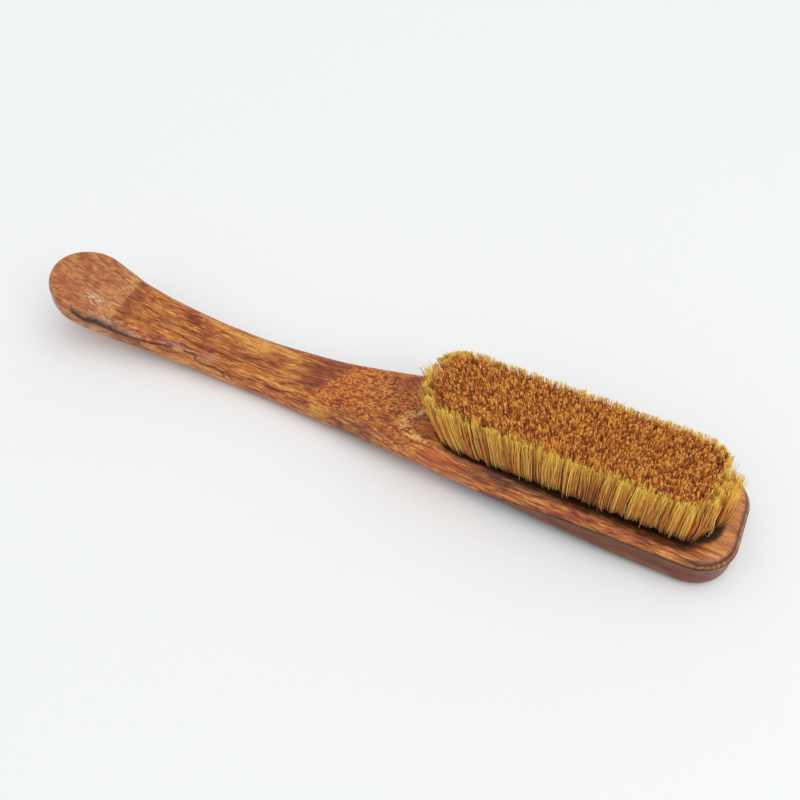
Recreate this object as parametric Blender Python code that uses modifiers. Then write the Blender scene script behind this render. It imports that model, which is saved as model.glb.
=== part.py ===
"""Wooden hand brush with natural bristle tufts, lying on its back with the bristles up.

The handle is one length of hardwood. A broad, flat head carries the bristles, a narrow waist
bows down below it, and a round end pad tilts up again. The head is drilled from above with a
blind hole for each tuft, and each tuft stands in its hole and widens above the wood.

The brush is drawn in the frame of its head: X runs from the round end to the head's end, Y
across, and Z = 0 is the flat top of the head. An empty then lays it down as it rests on a
table: on the belly of the waist and on the far end of the head.
"""

import math

import bmesh
import bpy
from mathutils import Matrix, Vector

# Handle, seen from above: half width at stations along the length.
HEAD_END_X = 0.2400
PAD_TIP_X = 0.0010
PAD_RADIUS = 0.0144
PAD_CENTRE_X = PAD_TIP_X + PAD_RADIUS
HEAD_CORNER_RADIUS = 0.0120
HEAD_HALF_WIDTH = 0.0190
HALF_WIDTHS = (
    (PAD_CENTRE_X, PAD_RADIUS),
    (0.0215, 0.0136),
    (0.0300, 0.0122),
    (0.0450, 0.0108),
    (0.0650, 0.0099),
    (0.0800, 0.0100),
    (0.1000, 0.0110),
    (0.1200, 0.0129),
    (0.1500, 0.0165),
    (0.1800, 0.0180),
    (0.2100, HEAD_HALF_WIDTH),
)

# Handle, seen from the side: height of the top face, and thickness below it.
PAD_TIP_HEIGHT = 0.0029
PAD_CREASE_X = 0.0280
PAD_CREASE_HEIGHT = -0.0046
TOP_HEIGHTS = (
    (PAD_CREASE_X, PAD_CREASE_HEIGHT),
    (0.0500, -0.0071),
    (0.0780, -0.0083),
    (0.1050, -0.0067),
    (0.1300, -0.0030),
    (0.1520, 0.0),
)
PAD_THICKNESS = 0.0082
WAIST_THICKNESS = 0.0104
HEAD_THICKNESS = 0.0112
THICKNESSES = (
    (0.0100, PAD_THICKNESS),
    (0.0420, 0.0100),
    (0.0780, WAIST_THICKNESS),
    (0.1150, WAIST_THICKNESS),
    (0.1600, HEAD_THICKNESS),
)

# Rounded edges, and how finely the outline is divided.
TOP_ROUND = 0.0023
BOTTOM_ROUND = 0.0034
EDGE_STEPS = 3
PAD_STEPS = 8
CORNER_STEPS = 5
STATION_STEP = 0.0068
REST_STEPS = 400

# Bristle field: a grid of tufts without the two corners at the head's end.
COLUMNS = 15
ROWS = 4
FIELD_START = 0.1530
FIELD_END = 0.2326
ROW_PITCH = 0.0068
HOLE_RADIUS = 0.0024
HOLE_DEPTH = 0.0080
HOLE_SIDES = 8
GAP = 0.0003

# Tufts above the wood: they widen, and those near the handle lean towards it.
BRISTLE_HEIGHT = 0.0155
COLLAR_HEIGHT = 0.0035
COLLAR_RADIUS = 0.0025
FAN_LEAN = 0.0085
FAN_POWER = 3.0
TUFT_GAP = 0.0004

WOOD_COLOUR = (0.270, 0.075, 0.022, 1.0)
BRISTLE_COLOUR = (0.580, 0.280, 0.065, 1.0)


def clear_scene():
    """Removes whatever the scene starts with."""
    for item in list(bpy.data.objects):
        bpy.data.objects.remove(item, do_unlink=True)


def new_collection(name):
    """A collection linked to the scene."""
    group = bpy.data.collections.new(name)
    bpy.context.scene.collection.children.link(group)
    return group


def new_material(name, colour, roughness):
    """A plain Principled material."""
    material = bpy.data.materials.new(name)
    material.use_nodes = True
    shader = material.node_tree.nodes["Principled BSDF"]
    shader.inputs["Base Color"].default_value = colour
    shader.inputs["Roughness"].default_value = roughness
    shader.inputs["Metallic"].default_value = 0.0
    return material


def through(points, x):
    """A smooth curve through the points that never overshoots them, read at x."""
    if x <= points[0][0]:
        return points[0][1]
    if x >= points[-1][0]:
        return points[-1][1]
    slopes = [(b[1] - a[1]) / (b[0] - a[0]) for a, b in zip(points, points[1:])]
    tangents = [slopes[0]]
    for before, after in zip(slopes, slopes[1:]):
        level = before * after <= 0.0
        tangents.append(0.0 if level else 2.0 * before * after / (before + after))
    tangents.append(0.0)
    i = max(k for k in range(len(slopes)) if points[k][0] <= x)
    span = points[i + 1][0] - points[i][0]
    t = (x - points[i][0]) / span
    rise = points[i + 1][1] - points[i][1]
    start = span * tangents[i]
    end = span * tangents[i + 1]
    return (
        points[i][1]
        + start * t
        + (3.0 * rise - 2.0 * start - end) * t**2
        + (start + end - 2.0 * rise) * t**3
    )


def top_height(x):
    """Height of the top face: a straight facet on the pad, then one long dip to the head."""
    if x < PAD_CREASE_X:
        share = x / PAD_CREASE_X
        return PAD_TIP_HEIGHT + share * (PAD_CREASE_HEIGHT - PAD_TIP_HEIGHT)
    return through(TOP_HEIGHTS, x)


def bottom_height(x):
    """Height of the underside."""
    return top_height(x) - through(THICKNESSES, x)


def outline():
    """Half of the outline from above, from the tip to the head's end, with inward normals."""
    points = []
    for step in range(PAD_STEPS):
        angle = 0.5 * math.pi * step / PAD_STEPS
        normal = Vector((math.cos(angle), -math.sin(angle)))
        points.append((Vector((PAD_CENTRE_X, 0.0)) - PAD_RADIUS * normal, normal))

    side_end = HEAD_END_X - HEAD_CORNER_RADIUS
    first_span = PAD_CREASE_X - PAD_CENTRE_X
    first_part = round(first_span / STATION_STEP)
    second_part = round((side_end - PAD_CREASE_X) / STATION_STEP)
    stations = [PAD_CENTRE_X + first_span * k / first_part for k in range(first_part)]
    stations += [PAD_CREASE_X + (side_end - PAD_CREASE_X) * k / second_part for k in range(second_part)]
    for x in stations:
        reach = 0.25 * STATION_STEP
        slope = (through(HALF_WIDTHS, x + reach) - through(HALF_WIDTHS, x - reach)) / (2.0 * reach)
        points.append((Vector((x, through(HALF_WIDTHS, x))), Vector((slope, -1.0)).normalized()))

    centre = Vector((side_end, HEAD_HALF_WIDTH - HEAD_CORNER_RADIUS))
    for step in range(CORNER_STEPS + 1):
        angle = 0.5 * math.pi * step / CORNER_STEPS
        outward = Vector((math.sin(angle), math.cos(angle)))
        points.append((centre + HEAD_CORNER_RADIUS * outward, -outward))
    points.append((Vector((HEAD_END_X, 0.0)), Vector((-1.0, 0.0))))
    return points


def edge_rings():
    """(inset, drop from the top face or None, rise from the underside or None) down the side."""
    rings = []
    for step in range(EDGE_STEPS + 1):
        angle = 0.5 * math.pi * step / EDGE_STEPS
        inset = TOP_ROUND * (1.0 - math.sin(angle))
        rings.append((inset, TOP_ROUND * (1.0 - math.cos(angle)), None))
    for step in range(EDGE_STEPS + 1):
        angle = 0.5 * math.pi * step / EDGE_STEPS
        inset = BOTTOM_ROUND * (1.0 - math.cos(angle))
        rings.append((inset, None, BOTTOM_ROUND * (1.0 - math.sin(angle))))
    return rings


def handle_half():
    """The +Y half of the handle: its rounded side as rings, its top and underside as strips."""
    bm = bmesh.new()
    columns = []
    for place, normal in outline():
        column = []
        for inset, drop, rise in edge_rings():
            spot = place + normal * inset
            height = top_height(spot.x) - drop if rise is None else bottom_height(spot.x) + rise
            column.append(bm.verts.new((spot.x, max(spot.y, 0.0), height)))
        columns.append(column)

    ridge = []
    for column in columns:
        pair = []
        for edge in (column[0], column[-1]):
            on_plane = edge.co.y < GAP
            pair.append(edge if on_plane else bm.verts.new((edge.co.x, 0.0, edge.co.z)))
        ridge.append(pair)

    for k in range(len(columns) - 1):
        here = columns[k]
        after = columns[k + 1]
        for j in range(len(here) - 1):
            bm.faces.new((here[j], after[j], after[j + 1], here[j + 1]))
        for side, mine, theirs in ((0, here[0], after[0]), (1, here[-1], after[-1])):
            corners = [ridge[k][side], ridge[k + 1][side], theirs, mine]
            distinct = list(dict.fromkeys(corners))
            bm.faces.new(distinct if side == 0 else distinct[::-1])
    bmesh.ops.recalc_face_normals(bm, faces=bm.faces)
    mesh = bpy.data.meshes.new("handle")
    bm.to_mesh(mesh)
    bm.free()
    return mesh


def tuft_places():
    """(column, row, x, y) of each tuft hole."""
    places = []
    for column in range(COLUMNS):
        for row in range(ROWS):
            if column == COLUMNS - 1 and row in (0, ROWS - 1):
                continue
            x = FIELD_START + (FIELD_END - FIELD_START) * column / (COLUMNS - 1)
            y = ROW_PITCH * (row - 0.5 * (ROWS - 1))
            places.append((column, row, x, y))
    return places


def tip_x(column):
    """Where the middle of a tuft's cut top stands, along the brush."""
    share = column / (COLUMNS - 1)
    base = FIELD_START + (FIELD_END - FIELD_START) * share
    return base - FAN_LEAN * (1.0 - share) ** FAN_POWER


def add_prism(bm, centre, radius, bottom, top):
    """An upright prism with HOLE_SIDES flat sides, two of them facing along X."""
    turn = Matrix.Rotation(math.pi / HOLE_SIDES, 4, "Z")
    middle = Matrix.Translation((centre[0], centre[1], 0.5 * (bottom + top)))
    made = bmesh.ops.create_cone(
        bm,
        cap_ends=True,
        segments=HOLE_SIDES,
        radius1=radius,
        radius2=radius,
        depth=top - bottom,
        matrix=middle @ turn,
    )
    return made["verts"]


def drill_mesh():
    """All the drilled holes of the head, as one cutter."""
    bm = bmesh.new()
    for _, _, x, y in tuft_places():
        add_prism(bm, (x, y), HOLE_RADIUS, -HOLE_DEPTH, 0.002)
    mesh = bpy.data.meshes.new("tuft_drill")
    bm.to_mesh(mesh)
    bm.free()
    return mesh


def widen(bm, face, centre, height, half_length, half_width):
    """Extrudes a tuft's top face up to a new height, centre and size; returns the new top."""
    grown = bmesh.ops.extrude_face_region(bm, geom=[face])["geom"]
    bmesh.ops.delete(bm, geom=[face], context="FACES_ONLY")
    verts = [item for item in grown if isinstance(item, bmesh.types.BMVert)]
    middle = sum((v.co for v in verts), Vector()) / len(verts)
    reach_x = max(abs(v.co.x - middle.x) for v in verts)
    reach_y = max(abs(v.co.y - middle.y) for v in verts)
    for v in verts:
        v.co.x = centre[0] + (v.co.x - middle.x) * half_length / reach_x
        v.co.y = centre[1] + (v.co.y - middle.y) * half_width / reach_y
        v.co.z = height
    return next(item for item in grown if isinstance(item, bmesh.types.BMFace))


def tuft_mesh(name, column, x):
    """A tuft about its own hole: the round plug in the wood, a collar, and the cut top."""
    bm = bmesh.new()
    radius = HOLE_RADIUS - GAP
    add_prism(bm, (0.0, 0.0), radius, GAP - HOLE_DEPTH, 0.0)
    face = max(bm.faces, key=lambda item: item.calc_center_median().z)

    lean = tip_x(column) - x
    neighbours = [tip_x(k) for k in (column - 1, column + 1) if 0 <= k < COLUMNS]
    nearest = min(abs(tip_x(column) - other) for other in neighbours)
    part_way = COLLAR_HEIGHT / BRISTLE_HEIGHT
    face = widen(bm, face, (lean * part_way, 0.0), COLLAR_HEIGHT, COLLAR_RADIUS, COLLAR_RADIUS)
    half_length = 0.5 * (nearest - TUFT_GAP)
    half_width = 0.5 * (ROW_PITCH - TUFT_GAP)
    widen(bm, face, (lean, 0.0), BRISTLE_HEIGHT, half_length, half_width)
    bmesh.ops.recalc_face_normals(bm, faces=bm.faces)
    mesh = bpy.data.meshes.new(name)
    bm.to_mesh(mesh)
    bm.free()
    return mesh


def place(mesh, name, group, parent, material=None, location=(0.0, 0.0, 0.0)):
    """An object for a mesh, in its collection and under the empty that lays the brush down."""
    item = bpy.data.objects.new(name, mesh)
    group.objects.link(item)
    item.parent = parent
    item.location = location
    if material is not None:
        mesh.materials.append(material)
    return item


def resting_pose():
    """Tilt and offset that stand the brush on its belly and the head's end, box over the origin."""
    toe_x = HEAD_END_X - BOTTOM_ROUND
    toe_height = bottom_height(toe_x)
    tilt = 0.0
    for step in range(REST_STEPS):
        x = toe_x * step / REST_STEPS
        tilt = max(tilt, math.atan2(toe_height - bottom_height(x), toe_x - x))
    spin = Matrix.Rotation(tilt, 3, "Y")
    toe = spin @ Vector((toe_x, 0.0, toe_height))
    tip = spin @ Vector((PAD_TIP_X, 0.0, bottom_height(PAD_TIP_X) + BOTTOM_ROUND))
    end = spin @ Vector((HEAD_END_X, 0.0, -TOP_ROUND))
    return tilt, Vector((-0.5 * (tip.x + end.x), 0.0, -toe.z))


def build():
    """Makes the whole brush."""
    clear_scene()
    parts = new_collection("bristle_brush")
    cutters = new_collection("cutters")

    laid_down = bpy.data.objects.new("laid_down", None)
    parts.objects.link(laid_down)
    tilt, offset = resting_pose()
    laid_down.rotation_euler = (0.0, tilt, 0.0)
    laid_down.location = offset

    wood = new_material("varnished_wood", WOOD_COLOUR, 0.35)
    bristle = new_material("natural_bristle", BRISTLE_COLOUR, 0.60)

    drill = place(drill_mesh(), "tuft_drill", cutters, laid_down)
    drill.display_type = "WIRE"
    drill.hide_render = True

    handle = place(handle_half(), "handle", parts, laid_down, wood)
    mirror = handle.modifiers.new("both_sides", "MIRROR")
    mirror.use_axis = (False, True, False)
    mirror.use_mirror_merge = True
    mirror.merge_threshold = 0.00001
    holes = handle.modifiers.new("tuft_holes", "BOOLEAN")
    holes.operation = "DIFFERENCE"
    holes.solver = "EXACT"
    holes.object = drill

    for column, row, x, y in tuft_places():
        name = f"tuft_column_{column + 1:02d}_row_{row + 1}"
        place(tuft_mesh(name, column, x), name, parts, laid_down, bristle, (x, y, 0.0))


build()
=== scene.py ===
"""Looks of the wooden bristle brush: varnished handle, cut hair tufts, studio and camera.

The brush is drawn in the frame of its head, as the CAD is: X runs from the round end to the
head's end, Y across, and Z = 0 is the flat top of the head. resting_pose() then lays it down.
Patterns on the wood are placed in millimetres of that same frame.
"""

import math

import bpy
import numpy as np
from mathutils import Matrix, Vector, noise


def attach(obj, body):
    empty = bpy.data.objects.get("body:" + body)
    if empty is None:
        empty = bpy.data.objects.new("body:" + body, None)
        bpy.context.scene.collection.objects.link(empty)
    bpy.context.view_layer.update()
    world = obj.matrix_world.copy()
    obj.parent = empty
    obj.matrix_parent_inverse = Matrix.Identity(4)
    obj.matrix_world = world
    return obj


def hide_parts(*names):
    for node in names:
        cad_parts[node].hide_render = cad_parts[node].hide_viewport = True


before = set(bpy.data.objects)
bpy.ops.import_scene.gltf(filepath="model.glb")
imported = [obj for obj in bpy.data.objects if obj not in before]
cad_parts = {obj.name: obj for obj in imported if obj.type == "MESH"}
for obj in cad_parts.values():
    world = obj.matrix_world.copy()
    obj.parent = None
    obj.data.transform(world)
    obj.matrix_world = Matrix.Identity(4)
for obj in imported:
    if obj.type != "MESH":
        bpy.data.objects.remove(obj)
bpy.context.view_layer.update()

MM = 0.001
BODY = "root"

# Handle, seen from above: half width at stations along the length.
HEAD_END_X = 0.2400
PAD_TIP_X = 0.0010
PAD_RADIUS = 0.0144
PAD_CENTRE_X = PAD_TIP_X + PAD_RADIUS
HEAD_CORNER_RADIUS = 0.0120
HEAD_HALF_WIDTH = 0.0190
HALF_WIDTHS = (
    (PAD_CENTRE_X, PAD_RADIUS),
    (0.0215, 0.0136),
    (0.0300, 0.0122),
    (0.0450, 0.0108),
    (0.0650, 0.0099),
    (0.0800, 0.0100),
    (0.1000, 0.0110),
    (0.1200, 0.0129),
    (0.1500, 0.0165),
    (0.1800, 0.0180),
    (0.2100, HEAD_HALF_WIDTH),
)

# The hand-shaped handle wanders a little to each side of its middle line.
SIDE_BOWS = (
    (0.0150, -0.0009),
    (0.0300, -0.0004),
    (0.0550, 0.0005),
    (0.0850, 0.0008),
    (0.1200, 0.0002),
    (0.1350, 0.0),
)

# Handle, seen from the side: height of the top face, and thickness below it.
PAD_TIP_HEIGHT = 0.0029
PAD_CREASE_X = 0.0280
PAD_CREASE_HEIGHT = -0.0046
TOP_HEIGHTS = (
    (PAD_CREASE_X, PAD_CREASE_HEIGHT),
    (0.0500, -0.0071),
    (0.0780, -0.0083),
    (0.1050, -0.0067),
    (0.1300, -0.0030),
    (0.1520, 0.0),
)
PAD_THICKNESS = 0.0082
WAIST_THICKNESS = 0.0104
HEAD_THICKNESS = 0.0112
THICKNESSES = (
    (0.0100, PAD_THICKNESS),
    (0.0420, 0.0100),
    (0.0780, WAIST_THICKNESS),
    (0.1150, WAIST_THICKNESS),
    (0.1600, HEAD_THICKNESS),
)

# Edges: the CAD's plain rounds, which the resting pose uses, and the real ones, which change
# along the handle. The shoulder is the upper round, as (x, reach inwards) and (x, drop).
CAD_TOP_ROUND = 0.0023
CAD_BOTTOM_ROUND = 0.0034
REST_STEPS = 400
SHOULDER_REACHES = (
    (0.0100, 0.0016),
    (0.0450, 0.0032),
    (0.1100, 0.0038),
    (0.1600, 0.0033),
    (0.2000, 0.0029),
)
SHOULDER_DROPS = (
    (0.0100, 0.0024),
    (0.0450, 0.0048),
    (0.1100, 0.0058),
    (0.1600, 0.0074),
    (0.1720, 0.0070),
    (0.1840, 0.0051),
    (0.1960, 0.0035),
    (0.2200, 0.0022),
)
UNDER_ROUNDS = (
    (0.0200, 0.0026),
    (0.0500, 0.0042),
    (0.1200, 0.0045),
    (0.1700, 0.0042),
    (0.2200, 0.0030),
)

# The cut line that ends the shoulder on the head: it climbs from the underside to the shoulder.
LINE_DROPS = (
    (0.1500, 0.0102),
    (0.1600, 0.0096),
    (0.1720, 0.0074),
    (0.1840, 0.0051),
    (0.1960, 0.0035),
    (0.2080, 0.0026),
    (0.2200, 0.0022),
)
LINE_START = (0.1600, 0.1760)
LINE_HALF_WIDTH = 0.00050
# Painted shade on the side below the cut line comes in over this span past it.
BELOW_START = (0.0, 0.0003)

# How deep the marks are pressed into the wood.
LINE_DEPTH = 0.00035
CRACK_DEPTH = 0.00050
FLAKE_DEPTH = 0.00018
WAVER_DEPTH = 0.00006

# How finely the handle is divided.
STATION_STEP = 0.0006
PAD_STEPS = 28
CORNER_STEPS = 24
ACROSS_STEPS = 28
SECTION_STEPS = 24
SHOULDER_RINGS = 36
LINE_RINGS = 5
UNDER_RINGS = 12

# Bristle field: a grid of tufts without the two corners at the head's end.
COLUMNS = 15
ROWS = 4
FIELD_START = 0.1530
FIELD_END = 0.2326
ROW_PITCH = 0.0068
HOLE_RADIUS = 0.0024
BRISTLE_HEIGHT = 0.0155
FAN_LEAN = 0.0085
FAN_POWER = 3.0
HEAD_LEAN = 0.0020
HEAD_ROOT_PULL = 0.0014
HEAD_SHARE_POWER = 6.0
CORNER_SPREAD = 0.0032

# Hairs of a tuft.
HAIRS = 560
HAIR_RADIUS = 0.000125
HAIR_RADIUS_RANGE = (0.75, 1.25)
HAIR_RINGS = (0.0, 0.06, 0.12, 0.24, 0.55, 1.0)
HAIR_SEGMENTS = len(HAIR_RINGS) - 1
HAIR_SIDES = 3
TIP_TAPER = 0.12
OUTER_TIP_TAPER = 0.30
OUTER_THINNING = 0.25
SPLAY_RATE = 0.17
ROOT_DEPTH = 0.0010
GOLDEN_ANGLE = math.pi * (3.0 - math.sqrt(5.0))
ANGLE_JITTER = 0.10
ROOT_SHARE = 0.96
ROOT_SQUARENESS = 0.35
TUFT_OVERLAP = 1.10
TIP_JITTER = 0.00025

# The field's cut top: half width, ends, and the rounds of its corners, nearer and farther.
FIELD_EDGE_Y = 0.0134
FIELD_ENDS = (0.1430, 0.2300)
FIELD_MIDDLE_X = 0.1900
WAIST_CORNERS = (0.0130, 0.0112)
HEAD_CORNERS = (0.0088, 0.0084)

# How hairs draw together: small locks everywhere, and wider wisps round the rim.
LOCK_PITCH = 0.00070
LOCK_PULL_INSIDE = 0.30
LOCK_PULL_AT_RIM = 0.62
LOCK_STEP = 0.00024
WISP_PITCH = 0.0018
WISP_PULL = 0.42
WISP_SHADE = 0.32
WISP_STEP = 0.00060
WISP_MIDDLE = 0.6
RIM = (0.0030, 0.0010)

# How hairs stray: slow sways across the field, tall hairs, and splay at the outer rows.
SWAY_SCALE = 0.55
SWAY_X = 0.00060
SWAY_Y = 0.00045
TRIM_LOSS = 0.00020
TRIM_JITTER = 0.00007
TALL_SHARE = 0.010
TALL_RANGE = (0.0002, 0.0009)
OUTER = (0.0026, 0.0006)
SPLAY = 0.00038
LOOSE_SHARE = 0.030
LOOSE_RANGE = (0.0004, 0.0022)
SPLAY_DROP = 0.45
CROSSING_SCALE = 0.32
CROSSING = 0.00050
CROSSING_JITTER = 0.00036
BOW_JITTER = 0.00030
BOW_SWAY = 0.00060

# Each hair's cell in a texture map for baking.
BAKE_COLUMNS = 40
BAKE_MARGIN = 0.12

# Camera and studio.
CAMERA_PLACE = (0.09992, -0.18331, 0.23114)
CAMERA_AZIMUTH = 28.81
CAMERA_ELEVATION = 46.97
CAMERA_ROLL = -2.42
CAMERA_LENS = 42.7
CAMERA_SHIFT_X = 0.0497
FLOOR_INNER_RADIUS = 0.3
FLOOR_RADIUS = 0.9
FLOOR_TURNS = 96
SWEEP_RADIUS = 0.6
SWEEP_HEIGHT = 0.7
SWEEP_STEPS = 16
PAPER_TOOTH = 900.0
PAPER_COLOURS = ((0.3, (0.885, 0.892, 0.890, 1.0)), (0.7, (0.90, 0.906, 0.904, 1.0)))

# Sun lamps, as name, direction they shine from, strength and softness in degrees.
SUNS = (
    ("key_light", (0.34, -0.06, 0.94), 1.10, 64.0),
    ("front_light", (-0.30, -0.80, 0.52), 0.36, 54.0),
)
CORNER_LIGHT_POWER = 0.7
CORNER_LIGHT_SIZE = 0.30
CORNER_LIGHT_DIRECTION = (0.65, -0.38, 0.63)
CORNER_LIGHT_AIM = (0.11, 0.0, 0.02)
CORNER_LIGHT_DISTANCE = 0.7
ROOM_COLOUR = (0.96, 0.98, 1.0, 1.0)
ROOM_STRENGTH = 0.57


# ---- Curves shared with the CAD ----


def through(points, x):
    """A smooth curve through the points that never overshoots them, read at x."""
    if x <= points[0][0]:
        return points[0][1]
    if x >= points[-1][0]:
        return points[-1][1]
    slopes = [(b[1] - a[1]) / (b[0] - a[0]) for a, b in zip(points, points[1:])]
    tangents = [slopes[0]]
    for before, after in zip(slopes, slopes[1:]):
        level = before * after <= 0.0
        tangents.append(0.0 if level else 2.0 * before * after / (before + after))
    tangents.append(0.0)
    i = max(k for k in range(len(slopes)) if points[k][0] <= x)
    span = points[i + 1][0] - points[i][0]
    t = (x - points[i][0]) / span
    rise = points[i + 1][1] - points[i][1]
    start = span * tangents[i]
    end = span * tangents[i + 1]
    return (
        points[i][1]
        + start * t
        + (3.0 * rise - 2.0 * start - end) * t**2
        + (start + end - 2.0 * rise) * t**3
    )


def top_height(x):
    """Height of the top face: a straight facet on the pad, then one long dip to the head."""
    if x < PAD_CREASE_X:
        share = x / PAD_CREASE_X
        return PAD_TIP_HEIGHT + share * (PAD_CREASE_HEIGHT - PAD_TIP_HEIGHT)
    return through(TOP_HEIGHTS, x)


def thickness(x):
    """Thickness of the handle at its middle."""
    return through(THICKNESSES, x)


def bottom_height(x):
    """Height of the underside."""
    return top_height(x) - thickness(x)


def tip_x(column):
    """Where the middle of a tuft's cut top stands, along the brush."""
    share = column / (COLUMNS - 1)
    base = FIELD_START + (FIELD_END - FIELD_START) * share
    return base - FAN_LEAN * (1.0 - share) ** FAN_POWER


def resting_pose():
    """The matrix that stands the brush on its belly and the head's end, box over the origin."""
    toe_x = HEAD_END_X - CAD_BOTTOM_ROUND
    toe_height = bottom_height(toe_x)
    tilt = 0.0
    for step in range(REST_STEPS):
        x = toe_x * step / REST_STEPS
        tilt = max(tilt, math.atan2(toe_height - bottom_height(x), toe_x - x))
    spin = Matrix.Rotation(tilt, 4, "Y")
    toe = spin @ Vector((toe_x, 0.0, toe_height))
    tip = spin @ Vector((PAD_TIP_X, 0.0, bottom_height(PAD_TIP_X) + CAD_BOTTOM_ROUND))
    end = spin @ Vector((HEAD_END_X, 0.0, -CAD_TOP_ROUND))
    return Matrix.Translation((-0.5 * (tip.x + end.x), 0.0, -toe.z)) @ spin


# ---- Small tools ----


def soft_step(low, high, value):
    """0 below low, 1 above high, and a smooth rise between."""
    t = np.clip((value - low) / (high - low), 0.0, 1.0)
    return t * t * (3.0 - 2.0 * t)


def bump_at(centre, reach, value):
    """1 at the centre, falling off smoothly over the reach."""
    return np.exp(-(((value - centre) / reach) ** 2))


def path_distance(points, u, v):
    """Distance from each (u, v) to a line through the points."""
    best = np.full(u.shape, 1e9)
    for (u0, v0), (u1, v1) in zip(points, points[1:]):
        du = u1 - u0
        dv = v1 - v0
        t = np.clip(((u - u0) * du + (v - v0) * dv) / (du * du + dv * dv), 0.0, 1.0)
        best = np.minimum(best, np.hypot(u - u0 - t * du, v - v0 - t * dv))
    return best


def rounded_box_distance(x, y, low_x, high_x, half_y, corner):
    """Distance outside a box with round corners, negative inside."""
    half_x = 0.5 * (high_x - low_x)
    out_x = np.abs(x - 0.5 * (low_x + high_x)) - half_x + corner
    out_y = np.abs(y) - half_y + corner
    outside = np.hypot(np.maximum(out_x, 0.0), np.maximum(out_y, 0.0))
    return outside + np.minimum(np.maximum(out_x, out_y), 0.0) - corner


def noise_values(places, scale, seed):
    """Smooth noise from about -1 to 1 at each row of places."""
    return np.array([noise.noise(Vector(p) * scale + Vector((seed, 0.0, 0.0))) for p in places])


def add_attribute(mesh, name, values):
    """Stores a number, or a vector, on each vertex."""
    values = np.asarray(values, dtype=np.float32)
    kind = "FLOAT" if values.ndim == 1 else "FLOAT_VECTOR"
    layer = mesh.attributes.new(name, kind, "POINT")
    layer.data.foreach_set("value" if values.ndim == 1 else "vector", values.ravel())


def srgb(red, green, blue):
    """A linear colour from a screen colour of 0 to 255."""
    levels = [value / 255.0 for value in (red, green, blue)]
    linear = [v / 12.92 if v <= 0.04045 else ((v + 0.055) / 1.055) ** 2.4 for v in levels]
    return (*linear, 1.0)


# ---- Handle ----


def half_outline():
    """Half of the outline from above, from beside the tip to the head's end: place and inward normal."""
    points = []
    for step in range(1, PAD_STEPS):
        angle = 0.5 * math.pi * step / PAD_STEPS
        normal = Vector((math.cos(angle), -math.sin(angle)))
        points.append((Vector((PAD_CENTRE_X, 0.0)) - PAD_RADIUS * normal, normal))

    side_end = HEAD_END_X - HEAD_CORNER_RADIUS
    stations = []
    for start, end in ((PAD_CENTRE_X, PAD_CREASE_X), (PAD_CREASE_X, side_end)):
        count = round((end - start) / STATION_STEP)
        stations += [start + (end - start) * k / count for k in range(count)]
    for x in stations:
        reach = 0.0017
        slope = (through(HALF_WIDTHS, x + reach) - through(HALF_WIDTHS, x - reach)) / (2.0 * reach)
        points.append((Vector((x, through(HALF_WIDTHS, x))), Vector((slope, -1.0)).normalized()))

    centre = Vector((side_end, HEAD_HALF_WIDTH - HEAD_CORNER_RADIUS))
    for step in range(CORNER_STEPS + 1):
        angle = 0.5 * math.pi * step / CORNER_STEPS
        outward = Vector((math.sin(angle), math.cos(angle)))
        points.append((centre + HEAD_CORNER_RADIUS * outward, -outward))
    return points


def outline_loop():
    """The whole outline as a closed loop: tip, +Y side, head's end, -Y side."""
    half = half_outline()
    tip = (Vector((PAD_TIP_X, 0.0)), Vector((1.0, 0.0)))
    corner = half[-1][0]
    end = []
    for step in range(1, ACROSS_STEPS):
        y = corner.y * (1.0 - 2.0 * step / ACROSS_STEPS)
        end.append((Vector((HEAD_END_X, y)), Vector((-1.0, 0.0))))
    other = [(Vector((p.x, -p.y)), Vector((n.x, -n.y))) for p, n in reversed(half)]
    return [tip, *half, *end, *other], len(half)


def section(x):
    """The side's profile at x, from the top face down: arrays of arc length, inset and drop."""
    reach = through(SHOULDER_REACHES, x)
    fall = through(SHOULDER_DROPS, x)
    under = through(UNDER_ROUNDS, x)
    whole = thickness(x)
    quarter = np.linspace(0.0, 0.5 * math.pi, SECTION_STEPS)
    inset = np.concatenate([reach * (1.0 - np.sin(quarter)), under * (1.0 - np.cos(quarter))])
    drop = np.concatenate([fall * (1.0 - np.cos(quarter)), whole - under * (1.0 - np.sin(quarter))])
    arc = np.concatenate([[0.0], np.cumsum(np.hypot(np.diff(inset), np.diff(drop)))])
    return arc, inset, drop


def ring_places(x):
    """Rings down the side at x, closer on the cut line: arcs, insets, drops, and the line's arc."""
    arc, inset, drop = section(x)
    line = np.interp(through(LINE_DROPS, x), drop, arc)
    line = min(line, arc[-1] - 3.0 * LINE_HALF_WIDTH)
    marks = np.concatenate([
        np.linspace(0.0, line - LINE_HALF_WIDTH, SHOULDER_RINGS, endpoint=False),
        np.linspace(line - LINE_HALF_WIDTH, line + LINE_HALF_WIDTH, LINE_RINGS, endpoint=False),
        np.linspace(line + LINE_HALF_WIDTH, arc[-1], UNDER_RINGS),
    ])
    return marks, np.interp(marks, arc, inset), np.interp(marks, arc, drop), line


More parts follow.
